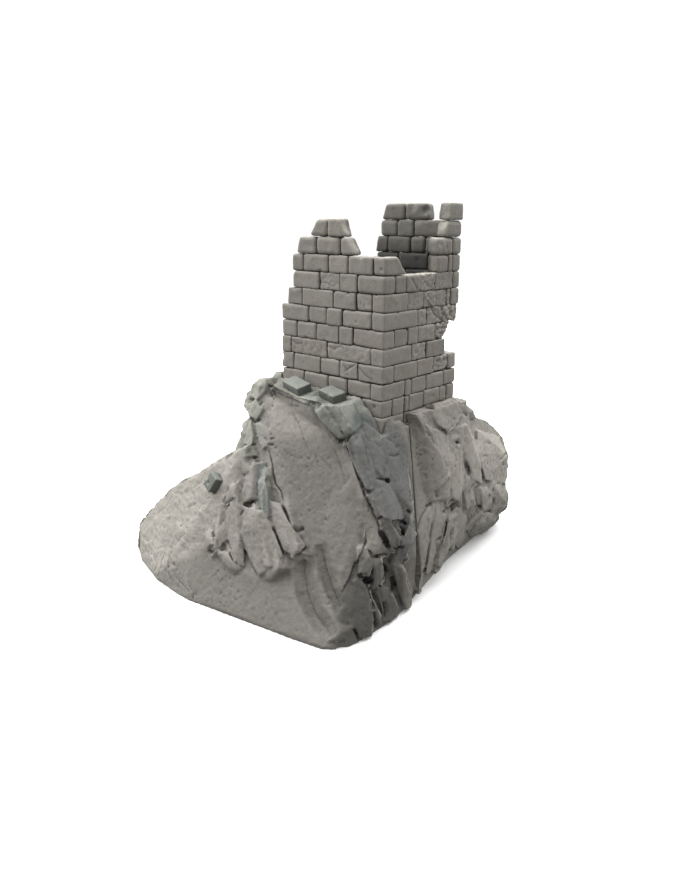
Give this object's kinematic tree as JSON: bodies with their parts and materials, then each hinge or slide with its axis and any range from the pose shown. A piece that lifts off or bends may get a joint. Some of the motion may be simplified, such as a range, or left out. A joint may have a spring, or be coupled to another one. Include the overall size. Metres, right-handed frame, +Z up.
{
  "type": "miniature terrain ruin",
  "caption": "Tabletop scenery: a broken square stone tower of coursed blocks on a steep layered rock, cast in grey resin, that lifts apart at a bed joint and an upright seam.",
  "frame": {"origin": "middle of the overall length and depth, on the flat underside of the rock", "axes": "+Z up, -Y out of the tower's front wall, +X out of its right wall"},
  "size_m": [0.126, 0.158, 0.1532],
  "materials": {
    "rock_resin": "unpainted matt cast resin, warm grey",
    "masonry_resin": "unpainted matt cast resin, warm grey",
    "fallen_block_resin": "unpainted matt cast resin, warm grey",
    "locating_pin": "plain drawn rod"
  },
  "bodies": {
    "front_section": {"rock_front": "rock_resin", "course_01_front": "masonry_resin", "course_02_front": "masonry_resin", "course_03_front": "masonry_resin", "fallen_block_left": "fallen_block_resin", "fallen_block_right": "fallen_block_resin", "fallen_block_slope": "fallen_block_resin", "seam_pin_left": "locating_pin", "seam_pin_right": "locating_pin", "tower_pin_left": "locating_pin", "tower_pin_right": "locating_pin"},
    "rear_section": {"rock_rear": "rock_resin", "course_01_rear": "masonry_resin", "course_02_rear": "masonry_resin", "course_03_rear": "masonry_resin"},
    "tower": {"course_04": "masonry_resin", "course_05": "masonry_resin", "course_06": "masonry_resin", "course_07": "masonry_resin", "course_08": "masonry_resin", "course_09": "masonry_resin", "course_10_front": "masonry_resin", "course_10_back": "masonry_resin", "front_11_left": "masonry_resin", "front_11_middle": "masonry_resin", "front_11_right": "masonry_resin", "front_12_left": "masonry_resin", "front_12_right": "masonry_resin", "right_11_end": "masonry_resin", "right_11_corner": "masonry_resin", "back_11_inner": "masonry_resin", "back_11_middle": "masonry_resin", "back_11_long": "masonry_resin", "back_11_end": "masonry_resin", "right_12_corner": "masonry_resin", "back_12_inner": "masonry_resin", "back_12_middle": "masonry_resin", "back_12_end": "masonry_resin", "right_13_corner": "masonry_resin", "back_13_inner": "masonry_resin", "back_13_end": "masonry_resin"}
  },
  "joints": [
    {"name": "rear_pull", "type": "slide", "parent": "front_section", "child": "rear_section", "axis": [0, 1, 0], "range_m": [0, 0.03]},
    {"name": "tower_lift", "type": "slide", "parent": "front_section", "child": "tower", "axis": [0, 0, 1], "range_m": [0, 0.03]}
  ]
}
